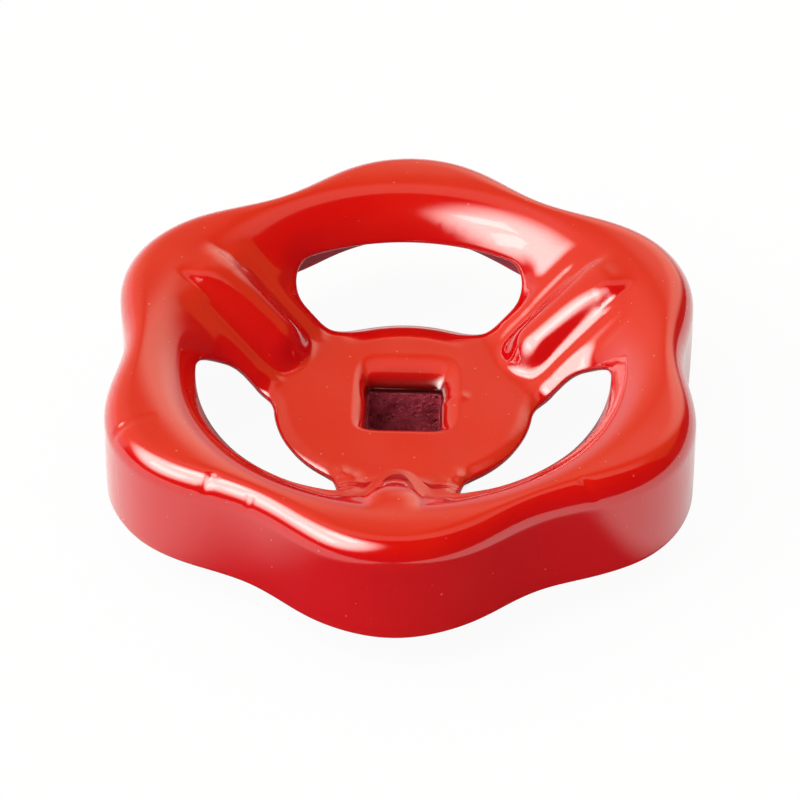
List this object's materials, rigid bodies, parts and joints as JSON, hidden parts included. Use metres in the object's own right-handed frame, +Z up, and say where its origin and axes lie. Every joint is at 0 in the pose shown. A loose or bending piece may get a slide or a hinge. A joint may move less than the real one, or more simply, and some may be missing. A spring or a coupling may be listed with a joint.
{
  "type": "valve handwheel",
  "caption": "Small pressed-steel valve handwheel with a lobed rolled rim, beaded spokes round a sunk hub plate, and a square-bored bush underneath for the stem.",
  "frame": {"origin": "on the stem's axis, at the lower end of the square-bored bush", "axes": "+Z up along the stem, away from the valve; -Y points along the front spoke, so a window is centred on +Y; X across"},
  "size_m": [0.065, 0.07, 0.0175],
  "materials": {
    "red_enamel": "glossy dipped enamel on pressed steel",
    "bare_steel": "bare, rough, slightly tarnished steel"
  },
  "bodies": {
    "root": {"wheel_pressing": "red_enamel", "square_hub_bush": "bare_steel"}
  },
  "joints": []
}
